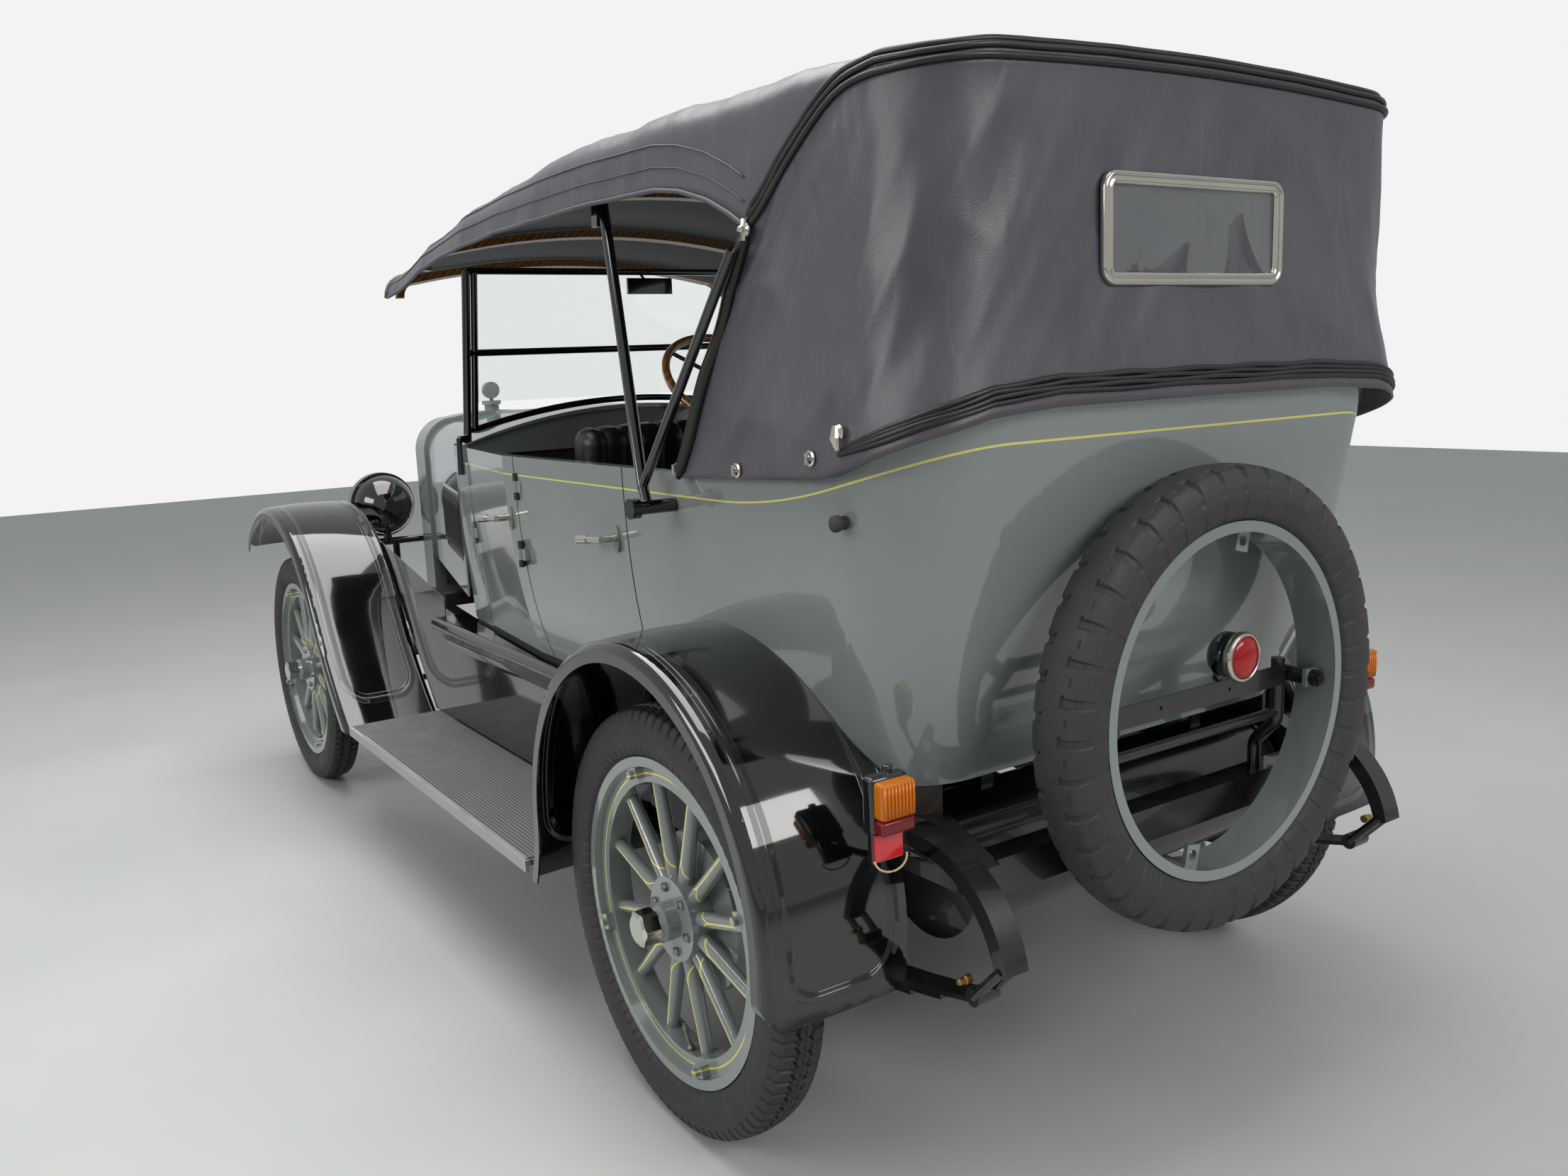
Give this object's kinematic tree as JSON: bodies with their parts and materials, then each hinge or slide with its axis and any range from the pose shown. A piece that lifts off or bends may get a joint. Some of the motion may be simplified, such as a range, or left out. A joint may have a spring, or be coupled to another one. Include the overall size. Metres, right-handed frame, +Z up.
{
  "type": "open touring car of the nineteen-twenties",
  "caption": "Open touring car with raised folding hood, artillery wheels, rear spare wheel, opening doors and bonnet halves, and steering.",
  "frame": {"origin": "middle of the car's footprint at ground level", "axes": "+X forward, +Y to the car's left, +Z up"},
  "size_m": [3.742, 1.612, 1.9019],
  "materials": {
    "body_paint": "gloss grey-green coach enamel with a yellow line",
    "black_enamel": "gloss black stove enamel",
    "engine_iron": "painted cast iron",
    "exhaust_steel": "dull heated steel",
    "floor_wood": "dark stained boards",
    "bow_wood": "varnished bent wood",
    "wheel_wood": "varnished bent wood",
    "black_leather": "black hide",
    "hood_cloth": "charcoal leathercloth",
    "clear_glass": "clear plate glass",
    "nickel": "polished nickel",
    "tyre_rubber": "black rubber",
    "board_mat": "ribbed grey mat with a bright edge"
  },
  "bodies": {
    "car": {"chassis_frame": "black_enamel", "springs": "black_enamel", "front_axle": "black_enamel", "rear_axle": "black_enamel", "engine": "engine_iron", "exhaust": "exhaust_steel", "fuel_tank": "black_enamel", "floor": "floor_wood", "cowl": "body_paint", "rear_tub": "body_paint", "radiator": "body_paint", "splash_aprons": "black_enamel", "running_boards": "board_mat", "front_fenders": "black_enamel", "rear_fenders": "black_enamel", "seat_cushions": "black_leather", "seat_backs": "black_leather", "windscreen_frame": "black_enamel", "windscreen_glass": "clear_glass", "hood_cover": "hood_cloth", "hood_irons": "black_enamel", "hood_bows": "bow_wood", "rear_window": "nickel", "headlamps": "black_enamel", "lamp_lenses": "clear_glass", "spare_rim": "body_paint", "spare_tyre": "tyre_rubber", "spare_carrier": "black_enamel", "tail_lamps": "black_enamel", "controls": "black_enamel"},
    "knuckle_left": {"knuckle_left": "black_enamel"},
    "knuckle_right": {"knuckle_right": "black_enamel"},
    "tie_rod": {"tie_rod": "black_enamel"},
    "steering_wheel": {"steering_wheel": "wheel_wood"},
    "wheel_front_left": {"wheel_front_left": "body_paint", "tyre_front_left": "tyre_rubber"},
    "wheel_front_right": {"wheel_front_right": "body_paint", "tyre_front_right": "tyre_rubber"},
    "wheel_rear_left": {"wheel_rear_left": "body_paint", "tyre_rear_left": "tyre_rubber"},
    "wheel_rear_right": {"wheel_rear_right": "body_paint", "tyre_rear_right": "tyre_rubber"},
    "door_rear_left": {"door_rear_left": "body_paint"},
    "door_rear_right": {"door_rear_right": "body_paint"},
    "door_front_left": {"door_front_left": "body_paint"},
    "door_front_right": {"door_front_right": "body_paint"},
    "bonnet_left": {"bonnet_left": "body_paint"},
    "bonnet_right": {"bonnet_right": "body_paint"}
  },
  "joints": [
    {"name": "steer_left", "type": "hinge", "parent": "car", "child": "knuckle_left", "pos_m": [1.41, 0.61, 0.3937], "axis": [0, 0, 1], "range_deg": [-28, 28]},
    {"name": "steer_right", "type": "hinge", "parent": "car", "child": "knuckle_right", "pos_m": [1.41, -0.61, 0.3937], "axis": [0, 0, 1], "range_deg": [-28, 28]},
    {"name": "tie_rod_pivot", "type": "hinge", "parent": "knuckle_left", "child": "tie_rod", "pos_m": [1.245, 0.61, 0.33], "axis": [0, 0, 1], "range_deg": [-28, 28]},
    {"name": "steering_wheel_turn", "type": "hinge", "parent": "car", "child": "steering_wheel", "pos_m": [0.004, -0.205, 1.333], "axis": [-0.6691, 0, 0.7431], "range_deg": [-336, 336]},
    {"name": "spin_front_left", "type": "hinge", "parent": "knuckle_left", "child": "wheel_front_left", "pos_m": [1.41, 0.7, 0.3937], "axis": [0, 1, 0], "continuous": true},
    {"name": "spin_front_right", "type": "hinge", "parent": "knuckle_right", "child": "wheel_front_right", "pos_m": [1.41, -0.7, 0.3937], "axis": [0, 1, 0], "continuous": true},
    {"name": "spin_rear_left", "type": "hinge", "parent": "car", "child": "wheel_rear_left", "pos_m": [-1.206, 0.7, 0.3937], "axis": [0, 1, 0], "continuous": true},
    {"name": "spin_rear_right", "type": "hinge", "parent": "car", "child": "wheel_rear_right", "pos_m": [-1.206, -0.7, 0.3937], "axis": [0, 1, 0], "continuous": true},
    {"name": "door_rear_left_hinge", "type": "hinge", "parent": "car", "child": "door_rear_left", "pos_m": [-0.321, 0.6, 0.95], "axis": [0, 0, -1], "range_deg": [0, 70]},
    {"name": "door_rear_right_hinge", "type": "hinge", "parent": "car", "child": "door_rear_right", "pos_m": [-0.321, -0.6, 0.95], "axis": [0, 0, 1], "range_deg": [0, 70]},
    {"name": "door_front_left_hinge", "type": "hinge", "parent": "car", "child": "door_front_left", "pos_m": [0.184, 0.5281, 0.95], "axis": [0, 0, -1], "range_deg": [0, 70]},
    {"name": "door_front_right_hinge", "type": "hinge", "parent": "car", "child": "door_front_right", "pos_m": [0.184, -0.5281, 0.95], "axis": [0, 0, 1], "range_deg": [0, 70]},
    {"name": "bonnet_left_hinge", "type": "hinge", "parent": "car", "child": "bonnet_left", "pos_m": [0.371, 0, 1.272], "axis": [0.9996, 0, -0.0283], "range_deg": [0, 50]},
    {"name": "bonnet_right_hinge", "type": "hinge", "parent": "car", "child": "bonnet_right", "pos_m": [0.371, 0, 1.272], "axis": [-0.9996, 0, 0.0283], "range_deg": [0, 50]}
  ],
  "couplings": [
    {"joint": "steer_right", "follows": "steer_left", "ratio": 1},
    {"joint": "tie_rod_pivot", "follows": "steer_left", "ratio": -1},
    {"joint": "steering_wheel_turn", "follows": "steer_left", "ratio": 12}
  ]
}
